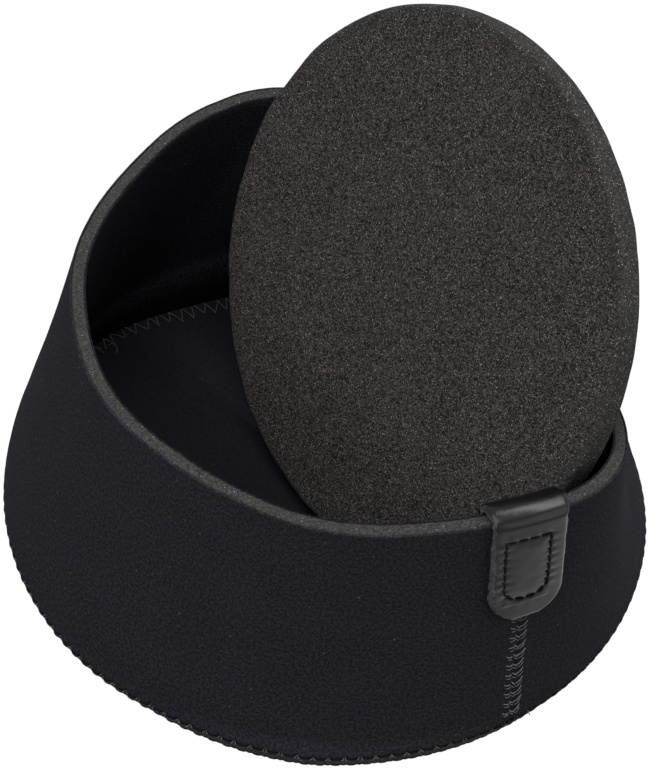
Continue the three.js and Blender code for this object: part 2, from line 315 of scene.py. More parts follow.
def foamMaterial(name, cut, rimColour=None):
    # dark pores, paler cell walls, and painted glints: a few cells coloured much lighter as painted
    # highlights
    colour, contrast = cut["colour"], cut["contrast"]
    material, tree, shader = newMaterial(name, colour, foam["roughness"], foam["specular"])
    place = placeInMm(tree)
    distance, picked = cellsAt(tree, place, 1 / cut["cell"])
    grain = noise(tree, place, 0.9 / cut["cell"], 2.0, 0.6)
    # most cells are darker than the mean and a few are much lighter
    tone = times(tree, mathNode(tree, "POWER", picked[0], 2.0), 0.88)
    tone = timesPlus(tree, ramp(tree, grain, 0.3, 0.7), 0.12, tone)
    tone = mathNode(tree, "SUBTRACT", tone, 0.06)
    tone = timesPlus(tree, noise(tree, place, 0.07), 0.12, tone)
    shade = mixColour(tree, tone, tinted(colour, 1 - 0.97 * contrast), tinted(colour, 1 + 2.1 * contrast))
    if rimColour:
        # the cut rim is smoother, and its border is patchy
        dark, light = tinted(rimColour, 1 - 0.6 * contrast), tinted(rimColour, 1 + 1.1 * contrast)
        rim = mixColour(tree, tone, dark, light)
        radius = addNode(tree, "SeparateXYZ", {0: clothPlace(tree)}).outputs[2]
        patchy = timesPlus(tree, noise(tree, place, 0.16), 4.0, radius)
        start = disc["radius"] - foam["discRimWidth"]
        shade = mixColour(tree, ramp(tree, patchy, start + 1.0, start + 4.0), shade, rim)
    # painted glints: chosen cells get a colour many times the foam's, standing in for highlights
    chosen = mathNode(tree, "LESS_THAN", picked[1], cut["paintedGlintShare"])
    glint = times(tree, chosen, mathNode(tree, "LESS_THAN", distance, foam["paintedGlintSize"]))
    level = times(tree, mathNode(tree, "POWER", picked[2], 1.6), 0.95)
    bright = times(tree, glint, level)
    shade = mixColour(tree, bright, shade, tinted(colour, foam["paintedGlintGain"]))
    tree.links.new(shade, shader.inputs["Base Color"])
    setBump(tree, shader, timesPlus(tree, picked[0], 0.6, grain), 0.5, foam["bump"])
    return material


# Leather

leather = {
    "pebble": 0.55,  # size of the grain
    "roughnessSpread": (-0.04, 0.06),
    # each side: toneStart and fineShare set how its tone is made up, spread how far it goes
    "face": {
        "colour": (0.0036, 0.0036, 0.0037), "roughness": 0.2, "specular": 0.19,
        "toneStart": 0.1, "fineShare": 0.15, "spread": 0.3, "bump": 0.12, "bumpDepth": 0.0001,
    },
    "cutEdge": {
        "colour": (0.06, 0.0618, 0.069), "roughness": 0.75, "specular": 0.1,
        "toneStart": -0.22, "fineShare": 0.75, "spread": 0.75, "bump": 0.7, "bumpDepth": 0.0002,
    },
}


def leatherMaterial(name, side):
    colour, roughness, spread = side["colour"], side["roughness"], side["spread"]
    material, tree, shader = newMaterial(name, colour, roughness, side["specular"])
    place = placeInMm(tree)
    inputs = {"Vector": place, "Scale": 1 / leather["pebble"]}
    pebble = addNode(tree, "TexVoronoi", inputs, feature="DISTANCE_TO_EDGE").outputs["Distance"]
    grain = noise(tree, place, 2.2, 4.0)
    tone = timesPlus(tree, noise(tree, place, 0.16, 3.0), 0.7, side["toneStart"])
    tone = timesPlus(tree, ramp(tree, grain, 0.3, 0.7), side["fineShare"], tone)
    shade = mixColour(tree, tone, tinted(colour, 1 - spread), tinted(colour, 1 + spread))
    tree.links.new(shade, shader.inputs["Base Color"])
    least, most = [roughness + part for part in leather["roughnessSpread"]]
    rough = addNode(tree, "MapRange", {0: grain, 3: least, 4: most}).outputs[0]
    tree.links.new(rough, shader.inputs["Roughness"])
    crease = ramp(tree, pebble, 0.0, 0.16)
    height = timesPlus(tree, crease, 0.5, times(tree, grain, 0.5))
    setBump(tree, shader, height, side["bump"], side["bumpDepth"])
    return material


# Thread

thread = {
    "roughness": 0.6,
    "twist": 0.9,  # length of one turn of the two strands
    "strandDepth": 0.14,  # how deep the twist is cut, as a share of the radius
    "fibre": 0.16,  # spacing of the fibres that show
    "bump": 0.00005,
    "sides": 8,
    "step": 0.16,  # distance between two sections of a thread
    # each seam's thread: round the base outside and inside, in the side seam, and on the tab
    "edge": {"colour": (0.082, 0.083, 0.082), "specular": 0.3, "radius": 0.095},
    "inner": {"colour": (0.042, 0.042, 0.046), "specular": 0.3, "radius": 0.09},
    "side": {"colour": (0.092, 0.092, 0.1), "specular": 0.3, "radius": 0.095, "fineRadius": 0.065},
    "tab": {"colour": (0.0022, 0.0022, 0.0025), "specular": 0.06, "radius": 0.22},
}


def threadMaterial(name, kind):
    colour = kind["colour"]
    material, tree, shader = newMaterial(name, colour, thread["roughness"], kind["specular"])
    split = addNode(tree, "SeparateXYZ", {0: clothPlace(tree)})
    turn = times(tree, split.outputs[0], 2 * pi / thread["fibre"])
    turn = timesPlus(tree, split.outputs[1], 7.0, turn)
    fibre = timesPlus(tree, mathNode(tree, "SINE", turn), 0.5, 0.5)
    grain = noise(tree, placeInMm(tree), 1.4, 3.0)
    tone = timesPlus(tree, fibre, 0.35, times(tree, grain, 0.8))
    shade = mixColour(tree, tone, tinted(colour, 0.5), tinted(colour, 1.9))
    tree.links.new(shade, shader.inputs["Base Color"])
    shader.inputs["Sheen Weight"].default_value = kind["specular"] * 0.3
    setBump(tree, shader, fibre, 0.5, thread["bump"])
    return material


looks = {
    "jersey": knitMaterial("jerseyOutside", knit["jersey"]),
    # the wall lining carries painted shade at its foot
    "lining": knitMaterial("jerseyLining", knit["lining"], paintedShadeFoot=True),
    "floorLining": knitMaterial("jerseyFloor", knit["floor"]),
    "cutFoam": foamMaterial("cutFoamEdge", foam["wallEdge"]),
    "discFoam": foamMaterial("discFoam", foam["disc"], foam["discRimColour"]),
    "leather": leatherMaterial("tabLeather", leather["face"]),
    "leatherEdge": leatherMaterial("tabCutEdge", leather["cutEdge"]),
    "side": threadMaterial("seamThread", thread["side"]),
    "edge": threadMaterial("edgeSeamThread", thread["edge"]),
    "inner": threadMaterial("innerSeamThread", thread["inner"]),
    "tab": threadMaterial("tabThread", thread["tab"]),
}
print("materials made")


# The wall's form

wall = {
    "baseRadius": 62.5,
    "rimHeight": 54.4,
    "taper": 9.5,
    "flare": 0.5,
    "sheet": 3.0,
    "skin": 0.4,
    "stretch": 6.675,  # the insert presses the mouth open by this
    "stretchAzimuth": 127.7,
    "mouthShift": (-1.6, -1.7),
    # each wave: crests round the mouth, size, azimuth of a crest
    "mouthWaves": (
        (2, 3.6, 65.4), (3, 2.13, -40.7), (4, 1.7, -38.6), (5, 1.76, -27.5), (6, 0.87, -17.8),
    ),
    "rimWaves": (
        (1, 3.12, -102.8), (2, 1.96, -83.3), (3, 0.4, 58.5), (4, 0.44, 40.1), (5, 0.45, 28.8),
    ),
    "seamAzimuth": -51.3,  # up to here as in the CAD source
    "seamGap": 0.12,
    "seamGroove": 0.3,
    "lumps": 0.16,  # how far the soft wall strays from its even form
    "ripple": 0.13,  # how far the rim's height strays
    "crumbs": 0.06,  # how rough the cut edge is
    "footReach": 5.5,  # height over which the wall sinks with the squeezed base
}
baseRadius, sheet = wall["baseRadius"], wall["sheet"]
seamAzimuth = math.radians(wall["seamAzimuth"])


def waveAt(azimuth, waves):
    return sum(size * np.cos(crests * (azimuth - math.radians(crest))) for crests, size, crest in waves)


def rimHeightAt(azimuth):
    return wall["rimHeight"] + waveAt(azimuth, wall["rimWaves"])


def wallPoint(azimuth, rise, depth):
    # rise runs from 0 on the base to 1 at the rim, depth goes in from the outer skin
    mouth = baseRadius - wall["taper"] + waveAt(azimuth, wall["mouthWaves"])
    mouth = mouth + wall["stretch"] * np.cos(2 * (azimuth - math.radians(wall["stretchAzimuth"])))
    radius = between(baseRadius, mouth, rise) - wall["flare"] * 4 * rise * (1 - rise) - depth
    x = radius * np.cos(azimuth) + wall["mouthShift"][0] * rise
    y = radius * np.sin(azimuth) + wall["mouthShift"][1] * rise
    return asPoints(x, y, between(sheet, rimHeightAt(azimuth), rise))


def riseAt(azimuth, height):
    return (height - sheet) / (rimHeightAt(azimuth) - sheet)


def outward(azimuth):
    azimuth = np.asarray(azimuth, float)
    return asPoints(np.cos(azimuth), np.sin(azimuth))


def degreesFrom(azimuth, centre):
    return np.degrees(np.angle(np.exp(1j * (azimuth - math.radians(centre)))))


# The base seam, which pinches the fabric as it goes round

baseSeam = {
    "stitches": 138,
    "peakAbove": 0.14,  # how far a stitch's peak stands above the base's squeezed edge
    "legSpread": 0.18,  # share of a stitch between a peak and the foot of its leg
    "footShare": 0.76,  # height of a leg's foot, as a share of the squeezed edge
    "pinch": 0.36,
    "pinchWidth": 0.3,
    "scallop": 0.42,  # the edge stands out between two stitches
    "frontThickness": 1.85,  # the thread squeezes the base's edge to this at the front
    "sideThickness": 0.6,
    "roll": 0.12,  # the wall rolls out over the edge by this
    "tuck": 0.3,  # and in below it
    "lift": 0.06,  # how far the thread stands proud
    "sunk": 0.16,  # how far it sinks, from the tab on to the right and the back
    # one loose end beside the side seam
    "looseEnd": ((41.6, -45.4, 1.3), (42.125, -45.85, 1.0), (42.55, -46.4, 0.5)),
    # the edge isn't quite round: azimuth in degrees and radius
    "edgeKnots": (
        (-180, 62.1), (-150, 62.5), (-130, 62.65), (-115, 62.25), (-100, 63.15), (-87, 63.75),
        (-75, 63.2), (-60, 62.8), (-45, 62.15), (-20, 62.55), (0, 62.75), (90, 62.4),
    ),
}


def stitchPhase(azimuth):
    return (azimuth - seamAzimuth) / (2 * pi) * baseSeam["stitches"]


def perStitch(azimuth, offset, seed):
    # one number from 0 to 1 for each stitch
    numbers = np.random.default_rng(seed).random(baseSeam["stitches"])
    return numbers[np.floor(stitchPhase(azimuth) + offset).astype(int) % baseSeam["stitches"]]


def scallop(azimuth):
    # least at the peak of a stitch, where the thread holds the edge in, and most between two of them
    out = np.abs(np.cos(pi * stitchPhase(azimuth))) ** 0.65 - 0.6
    size = 0.15 + 0.65 * bell(degreesFrom(azimuth, -128), 24)
    return baseSeam["scallop"] * size * out * (0.55 + 0.9 * perStitch(azimuth, 0.5, 31))


def edgeThickness(azimuth):
    # the base's cut edge shows at the front, and is rolled under at the sides
    front = bell(degreesFrom(azimuth, -84), 30, 4)
    return between(baseSeam["sideThickness"], baseSeam["frontThickness"], front)


def edgeRadius(azimuth):
    knots = np.array(baseSeam["edgeKnots"])
    return np.interp(np.degrees(azimuth), knots[:, 0], knots[:, 1], period=360) + scallop(azimuth)


def seamPinch(azimuth, height):
    # the grooves that the thread's legs press into the fabric, and the hole at each peak
    part = np.mod(stitchPhase(azimuth), 1) - 0.5
    pitch = 2 * pi * baseRadius / baseSeam["stitches"]
    low = baseSeam["footShare"] * edgeThickness(azimuth)
    high = edgeThickness(azimuth) + baseSeam["peakAbove"]
    share = np.clip((height - low) / (high - low), 0, 1)
    aside = np.abs(np.abs(part) - baseSeam["legSpread"] * (1 - share)) * pitch
    line = bell(aside, baseSeam["pinchWidth"]) * (1 - smoothStep(high, high + 0.6, height))
    hole = np.exp(-((part * pitch) ** 2 + (height - high) ** 2) / 0.22)
    deepness = 0.4 + 0.6 * bell(degreesFrom(azimuth, -100), 42)
    return baseSeam["pinch"] * (line + 1.1 * hole) * deepness


def squeeze(radius, azimuth):
    # how thin the thread presses the base and the wall's foot, as a share of the sheet
    return between(1.0, edgeThickness(azimuth) / sheet, smoothStep(57.5, 61.5, radius))


def wallSwell(azimuth, rise):
    # slow unevenness that all layers of the wall share, still at the base
    at = wallPoint(azimuth, rise, 0)
    lumps = softNoise(at, 15, 1) + 0.35 * softNoise(at, 6, 2)
    return wall["lumps"] * lumps * smoothStep(0.02, 0.3, rise)


def rimRipple(azimuth):
    at = outward(azimuth) * 55
    return wall["ripple"] * softNoise(at, 7, 3) + 0.05 * softNoise(at, 1.6, 4)


def footDrop(depth, height, azimuth):
    # the wall's foot sinks where the base under it is squeezed
    low = sheet * (1 - squeeze(baseRadius - depth, azimuth))
    return low * (1 - smoothStep(sheet, sheet + wall["footReach"], height))


def skinShape(azimuth, height):
    # how far the outer skin stands out of the plain wall at this height
    above = height - edgeThickness(azimuth)
    uneven = (edgeRadius(azimuth) - baseRadius) * bell(above, 2.2)
    roll = baseSeam["roll"] * bell(above - 1.3, 1.3)
    tuck = baseSeam["tuck"] * (1 - smoothStep(0, 0.7, above))
    return uneven + roll - tuck - seamPinch(azimuth, height)


liningFold = {
    "azimuth": 118,  # the lining's foot lies further in at the back left
    "width": 30,
    "reach": 8.2,
    "fade": 2.8,  # height over which it goes back to the wall
    "overhang": 0.9,  # a soft bulge just above the seam, all the way round
    "tuck": 0.4,
}


def innerCreep(azimuth, height):
    above = np.maximum(height - sheet, 0)
    creep = liningFold["reach"] * bell(degreesFrom(azimuth, liningFold["azimuth"]), liningFold["width"])
    overhang = liningFold["overhang"] * bell(above - 1.7, 1.0) - liningFold["tuck"] * bell(above, 0.6)
    return creep * bell(above, liningFold["fade"]) + overhang


def wallLayer(section, columns):
    # section: rise, depth, extra height, share of the outer shape and of the inner creep, point by point
    half = wall["seamGap"] / 2 / baseRadius
    azimuth = np.linspace(seamAzimuth + half, seamAzimuth + 2 * pi - half, columns)[:, None]
    rise, depth, extra, outerShare, innerShare = [part[None, :] for part in section]
    at = wallPoint(azimuth, rise, depth)
    height = at[..., 2] - footDrop(depth, at[..., 2], azimuth)
    fromSeam = np.minimum(azimuth - seamAzimuth, seamAzimuth + 2 * pi - azimuth) * baseRadius
    groove = wall["seamGroove"] * bell(fromSeam, 1.1)
    move = wallSwell(azimuth, rise) + (skinShape(azimuth, height) - groove) * outerShare
    move = move - innerCreep(azimuth, at[..., 2]) * innerShare
    at = at + outward(azimuth) * move[..., None]
    at[..., 2] = height + rimRipple(azimuth) * smoothStep(0.9, 1.0, rise) + extra
    places = asPoints((azimuth - seamAzimuth) * baseRadius, at[..., 2], depth)
    return at, places


def sectionOf(firstRises, firstDepth, lastRises, lastDepth, shares, roundness, across=4, dome=0.0):
    # up one side, over the top edge and down the other
    # shares: the outer shape and the inner creep, each on the first and the last side
    first, last = len(firstRises), len(lastRises)
    turn = np.linspace(0, 1, across + 2)[1:-1]

    def overTop(start, end):
        return np.concatenate([np.full(first, start), between(start, end, turn), np.full(last, end)])

    rise = np.concatenate([firstRises, np.ones(across), lastRises[::-1]])
    extra = np.concatenate([np.zeros(first), dome * 4 * turn * (1 - turn), np.zeros(last)])
    extra[first - 1] -= roundness
    extra[first + across] -= roundness
    return rise, overTop(firstDepth, lastDepth), extra, overTop(*shares[0]), overTop(*shares[1])


def makeWall():
    skin, core = wall["skin"], sheet - wall["skin"]
    outerRises = [np.linspace(0, 0.075, 26), np.linspace(0.075, 0.94, 26)[1:], np.linspace(0.94, 1, 9)[1:]]
    outerRises = np.concatenate(outerRises)  # finest at the seam
    plainRises = np.linspace(0, 1, 15) ** 1.3
    liningRises = np.linspace(0, 1, 30) ** 1.2
    section = sectionOf(outerRises, 0, plainRises, skin, ((1, 1), (0, 0)), 0.1)
    at, places = wallLayer(section, 1920)
    makeSwept("wallJersey", at, "jersey", "wall_outer_jersey", places)
    section = sectionOf(outerRises[::3], skin, plainRises, core, ((1, 0), (0, 1)), 0.04, across=12, dome=0.1)
    at, places = wallLayer(section, 1440)
    crumbs = wall["crumbs"] * softNoise(at, 0.55, 5) + 0.04 * softNoise(at, 0.3, 6)
    at[..., 2] += crumbs * (section[0] > 0.999)[None, :]
    makeSwept("wallFoam", at, "cutFoam", "wall_core", places)
    section = sectionOf(plainRises, core, liningRises, sheet, ((0, 0), (1, 1)), 0.1)
    at, places = wallLayer(section, 960)
    makeSwept("wallLining", at, "lining", "wall_lining", places)


makeWall()
print("wall made")


# The base

base = {
    "columns": 1656,
    "sag": 0.12,  # how deep the floor's soft hollows are
    "rough": 0.05,
    "edgeBand": 6.0,  # width of the band that the seam draws out of round
}


def baseLayer(low, high, edgeRound, edgePoints):
    # half a section from the middle of the underside, round the edge, to the middle of the top
    inner = baseRadius - base["edgeBand"]
    under = np.concatenate([np.linspace(0, inner, 22), np.linspace(inner + 0.3, baseRadius - 0.3, 18)])
    turn = np.linspace(0, pi, edgePoints)
    edge = baseRadius - edgeRound + edgeRound * np.sin(turn)
    edgeHeight = between(low, high, (1 - np.cos(turn)) / 2)
    radius = np.concatenate([under, edge, under[::-1]])[None, :]
    height = np.concatenate([np.full(len(under), low), edgeHeight, np.full(len(under), high)])[None, :]
    azimuth = (seamAzimuth + np.arange(base["columns"]) / base["columns"] * 2 * pi)[:, None]
    height = height * squeeze(radius, azimuth)
    reach = radius + (edgeRadius(azimuth) - baseRadius) * smoothStep(inner, baseRadius, radius)
    reach = reach - 0.5 * seamPinch(azimuth, height) * smoothStep(baseRadius - 1, baseRadius, radius)
    return asPoints(reach * np.cos(azimuth), reach * np.sin(azimuth), height)


def makeBase():
    skin, core = wall["skin"], sheet - wall["skin"]
    at = baseLayer(0, skin, 0.16, 7)
    makeTurned("baseJersey", at, "jersey", "cap", "base_outer_jersey", at)
    at = baseLayer(skin, core, 0.25, 13)
    rough = base["rough"] * softNoise(at, 0.5, 7)
    at[..., :2] *= (1 + rough / baseRadius)[..., None]
    makeTurned("baseFoam", at, "cutFoam", "cap", "base_core", at)
    at = baseLayer(core, sheet, 0.1, 5)
    radius = np.hypot(at[..., 0], at[..., 1])
    dip = base["sag"] * (softNoise(at, 16, 8) - 1) * (1 - smoothStep(40, 56, radius))
    onTop = at[..., 2] > sheet - 0.01
    at[..., 2] += np.where(onTop, dip, 0) * smoothStep(0, 5, radius)
    makeTurned("baseLining", at, "floorLining", "cap", "base_lining", at)


makeBase()
print("base made")


# Stitches

def threadTubes(paths, radius):
    # each path: points and outward directions; a two-strand twist is cut into the round
    allPoints, allFaces, allPlaces = [], [], []
    count, sides = 0, thread["sides"]
    angle = np.arange(sides)[None, :] / sides * 2 * pi
    for line, ups in paths:
        gaps = np.linalg.norm(np.diff(line, axis=0), axis=1)
        run = np.concatenate([[0], np.cumsum(gaps)])
        stations = np.linspace(0, run[-1], max(4, int(run[-1] / thread["step"]) + 1))
        centre = np.stack([np.interp(stations, run, line[:, i]) for i in range(3)], -1)
        up = np.stack([np.interp(stations, run, ups[:, i]) for i in range(3)], -1)
        along = np.gradient(centre, axis=0)
        along /= np.linalg.norm(along, axis=1)[:, None]
        across = np.cross(up, along)
        across /= np.linalg.norm(across, axis=1)[:, None]
        lift = np.cross(along, across)
        twist = 2 * pi * stations[:, None] / thread["twist"]
        thick = radius * (1 + thread["strandDepth"] * np.cos(2 * (angle - twist)))
        ends = np.minimum(stations, stations[-1] - stations)
        thick = thick * np.sqrt(np.clip(ends / (radius * 0.8), 0.12, 1))[:, None]
        spokes = np.cos(angle)[..., None] * across[:, None] + np.sin(angle)[..., None] * lift[:, None]
        ring = centre[:, None] + thick[..., None] * spokes
        allFaces.extend([[corner + count for corner in face] for face in sweptFaces(len(stations), sides)])
        allPoints.append(ring.reshape(-1, 3))
        allPlaces.append(asPoints(stations[:, None], angle).reshape(-1, 3))
        count += len(stations) * sides
    return np.concatenate(allPoints), allFaces, np.concatenate(allPlaces)


def makeStitches(name, node, paths, kind, width="radius"):
    # kind is a name both in thread and in looks
    points, faces, places = threadTubes(paths, thread[kind][width])
    makeObject(name, points, faces, [kind], "cap", node, places)


def flatPath(points):
    # a thread that lies on the floor or the table
    return np.array(points), np.tile(upward, (len(points), 1))


def outerEdge(azimuth, height):
    # the outside of the wall's foot and of the base's edge as one surface
    foot = wallPoint(azimuth, np.maximum(riseAt(azimuth, np.maximum(height, sheet)), 0), 0)
    foot = foot + outward(azimuth) * skinShape(azimuth, height)[..., None]
    edge = outward(azimuth) * (edgeRadius(azimuth) - 0.5 * seamPinch(azimuth, height))[..., None]
    share = smoothStep(-0.15, 0.25, height - edgeThickness(azimuth))[..., None]
    at = between(edge, foot, share)
    at[..., 2] = height
    return at, outward(azimuth)


def makeBaseSeam():
    paths = []
    rng = np.random.default_rng(11)
    step = 2 * pi / baseSeam["stitches"]
    leg = np.linspace(-1, 1, 19)  # from one foot over the peak to the other
    holes = 0.22 * bell(leg, 0.1) + 0.25 * smoothStep(0.85, 1.0, np.abs(leg))
    for i in range(baseSeam["stitches"]):
        jitter = rng.normal(0, 1, 4) * (0.1, 0.03, 0.03, 0.03)
        peak = seamAzimuth + (i + 0.5 + jitter[1]) * step
        thick = float(edgeThickness(peak))
        azimuth = peak + np.abs(leg) ** 0.9 * np.sign(leg) * (baseSeam["legSpread"] + jitter[2]) * step
        top = thick + baseSeam["peakAbove"] + jitter[0]
        height = between(top, baseSeam["footShare"] * thick, np.abs(leg) ** 1.1)
        at, up = outerEdge(azimuth, height)
        sunk = baseSeam["sunk"] * smoothStep(-70, -55, math.degrees(math.remainder(peak, 2 * pi)))
        lift = baseSeam["lift"] - sunk + jitter[3] - holes
        paths.append((at + up * lift[:, None], up))
    paths.append(flatPath(baseSeam["looseEnd"]))
    makeStitches("baseSeamOuterStitches", "base_seam_outer_stitching", paths, "edge")


innerSeam = {
    "stitches": 132,
    "reach": 3.0,  # how far a stitch goes in over the floor
    # stray kinked ends where the floor meets the wall at the left
    "strays": (
        ((-46.96, 27.68, 3.2), (-46.08, 28.1, 3.7), (-44.96, 27.08, 3.5), (-44.9, 25.9, 3.2)),
        ((-49.2, 26.5, 3.2), (-48.1, 25.9, 3.45), (-47.2, 25.2, 3.25)),
    ),
}


def liningPoint(azimuth, height, out):
    at = wallPoint(azimuth, riseAt(azimuth, height), sheet)
    return at - outward(azimuth) * (innerCreep(azimuth, height) + out)


def makeInnerSeam():
    paths = []
    rng = np.random.default_rng(12)
    step = 2 * pi / innerSeam["stitches"]
    share = np.linspace(0, 1, 9)[:, None]
    for i in range(innerSeam["stitches"]):
        for turn in (0, 1):
            foot = seamAzimuth + (i + turn) * step
            peak = seamAzimuth + (i + 0.5) * step + rng.normal(0, 0.007)
            low = liningPoint(foot, sheet, innerSeam["reach"] + rng.normal(0, 0.3))
            low[2] = sheet + 0.02
            high = liningPoint(peak, sheet + 0.45, 0.1)
            lift = 0.04 + rng.normal(0, 0.06) - (1 - np.sin(pi * share) ** 0.5) * 0.3
            paths.append((between(low, high, share) + upward * lift, np.tile(upward, (9, 1))))
    paths += [flatPath(stray) for stray in innerSeam["strays"]]
    makeStitches("baseSeamInnerStitches", "base_seam_inner_stitching", paths, "inner")


makeBaseSeam()
makeInnerSeam()
print("base seam made")


# The leather tab

tab = {
    "azimuth": -52.4,
    "thickness": 1.6,
    "width": 14.0,
    "waist": 13.4,
    "outerLeg": 25.0,
    "innerLeg": 24.0,
    "corner": 6.2,
    "skew": 0.95,
    "foldRise": 0.2,
    "foldPress": 0.85,
    "foldSlant": 1.7,  # the right edge leans out as the strip goes over the rim
    "gap": 0.3,
    "cutBack": 0.5,  # the left edge is cut at a slant low down, so more of its raw side shows
    "edgeSoftness": 0.32,
    "uneven": 0.11,
    "ragged": 0.24,
    "stitchMargin": 2.8,
    "stitchEnd": 4.6,
    "stitchShift": 0.6,
    "stitchTop": 3.2,
    "stitchCorner": 3.4,
    "stitchPitch": 2.1,
    "pillow": 0.16,  # the leather swells inside the sewn box
    "pleat": 0.13,
    "lineDent": 0.04,
    "holeDent": 0.34,
}
tabAzimuth = math.radians(tab["azimuth"])
foldInner = sheet / 2 + tab["gap"]
foldArc = pi * (foldInner + tab["thickness"] / 2)
foldStart, foldEnd = tab["outerLeg"], tab["outerLeg"] + foldArc
tabLength = foldEnd + tab["innerLeg"]
rimAtTab = wallPoint(tabAzimuth, 1, 0)[:2] - np.array(wall["mouthShift"])
tabRadius = float(np.hypot(*rimAtTab))


def tabHalfWidth(along):
    fromFold = np.minimum(np.abs(along - foldStart) / tab["outerLeg"], 1)
    half = between(tab["waist"], tab["width"], np.sin(fromFold * pi / 2)) / 2
    inset = np.maximum(tab["corner"] - np.minimum(along, tabLength - along), 0)
    return half - tab["corner"] + np.sqrt(np.maximum(tab["corner"] ** 2 - inset ** 2, 0))


def tabPoint(reach, along, lift):
    # reach is across the strip, along is from the outer leg's end, lift is above the leather's inner face
    reach, along, lift = np.broadcast_arrays(reach, along, lift)
    outerDown, innerDown = foldStart - along, along - foldEnd
    over = smoothStep(0, foldArc * 0.6, -outerDown) * (1 - smoothStep(0, 14, innerDown))
    reach = reach + tab["foldSlant"] * over * smoothStep(-tab["width"] / 2, tab["width"] / 2, reach)
    skew = tab["skew"] * np.maximum(np.maximum(outerDown, innerDown), 0) / tab["outerLeg"]
    azimuth = tabAzimuth + (reach + skew) / tabRadius
    rimLine = rimHeightAt(azimuth) - sheet
    outer = wallPoint(azimuth, 1 - outerDown / rimLine, -tab["gap"] - lift)
    inner = wallPoint(azimuth, 1 - innerDown / rimLine, sheet + tab["gap"] + lift)
    turn = pi * (along - foldStart) / foldArc
    fold = wallPoint(azimuth, 1, sheet / 2 - (foldInner + lift) * np.cos(turn))
    rise = tab["gap"] + foldInner * tab["foldRise"] + lift * tab["foldPress"]
    fold[..., 2] += rise * np.sin(turn)
    at = np.where((outerDown >= 0)[..., None], outer, fold)
    return np.where((innerDown >= 0)[..., None], inner, at)


def boxOutline():
    # rounded box in (x across, y down from the rim), as one closed line with even steps
    half = tab["width"] / 2 - tab["stitchMargin"]
    low = min(tab["outerLeg"], tab["innerLeg"]) - tab["stitchEnd"]
    corner, top = tab["stitchCorner"], tab["stitchTop"]
    points = [(-half, top), (-half, low - corner)]
    for centre, start in ((-half + corner, pi), (half - corner, 1.5 * pi)):
        for angle in start + np.linspace(0, pi / 2, 9):
            points.append((centre + corner * math.cos(angle), low - corner - corner * math.sin(angle)))
    points += [(half, low - corner), (half, top), (-half, top)]
    points = np.array(points) - [tab["stitchShift"], 0]
    run = np.concatenate([[0], np.cumsum(np.linalg.norm(np.diff(points, axis=0), axis=1))])
    count = int(round(run[-1] / tab["stitchPitch"]))
    return points, run, count


def onOutline(points, run, distance):
    return np.stack([np.interp(distance, run, points[:, i]) for i in range(2)], -1)


def stitchDent(x, down):
    # how far the sewn line presses the leather in, and the small pleats that run out from it
    points, run, count = boxOutline()
    steps = 300
    line = onOutline(points, run, np.linspace(0, run[-1], steps))
    holes = onOutline(points, run, np.arange(count) / count * run[-1])
    spot = np.stack(np.broadcast_arrays(x, down), -1)
    gaps = np.linalg.norm(spot[..., None, :] - line, axis=-1)
    toLine = gaps.min(-1)
    alongLine = gaps.argmin(-1) / (steps - 1) * count
    toHole = np.linalg.norm(spot[..., None, :] - holes, axis=-1).min(-1)
    inside = (np.abs(x + tab["stitchShift"]) < tab["width"] / 2 - tab["stitchMargin"])
    inside = inside & (down > tab["stitchTop"]) & (down < tab["outerLeg"] - tab["stitchEnd"])
    pillow = tab["pillow"] * smoothStep(0, 2.6, toLine) * inside
    strength = 0.5 + 0.5 * softNoise(asPoints(alongLine), 1.7, 14)
    pleat = tab["pleat"] * strength * np.cos(2 * pi * alongLine) * bell(toLine, 1.5)
    pleat = pleat * (toLine > 0.3) * (1 - 0.6 * inside)
    return tab["lineDent"] * bell(toLine, 0.5) + tab["holeDent"] * bell(toHole, 0.32) + pleat - pillow


def tabStations():
    # places along the strip, closer together at its round ends and over the fold
    corner = tab["corner"]
    stretches = [
        (0, corner, 22), (corner, foldStart, 74), (foldStart, foldEnd, 30),
        (foldEnd, tabLength - corner, 50), (tabLength - corner, tabLength, 22),
    ]
    return np.concatenate([[0]] + [np.linspace(*stretch)[1:] for stretch in stretches])


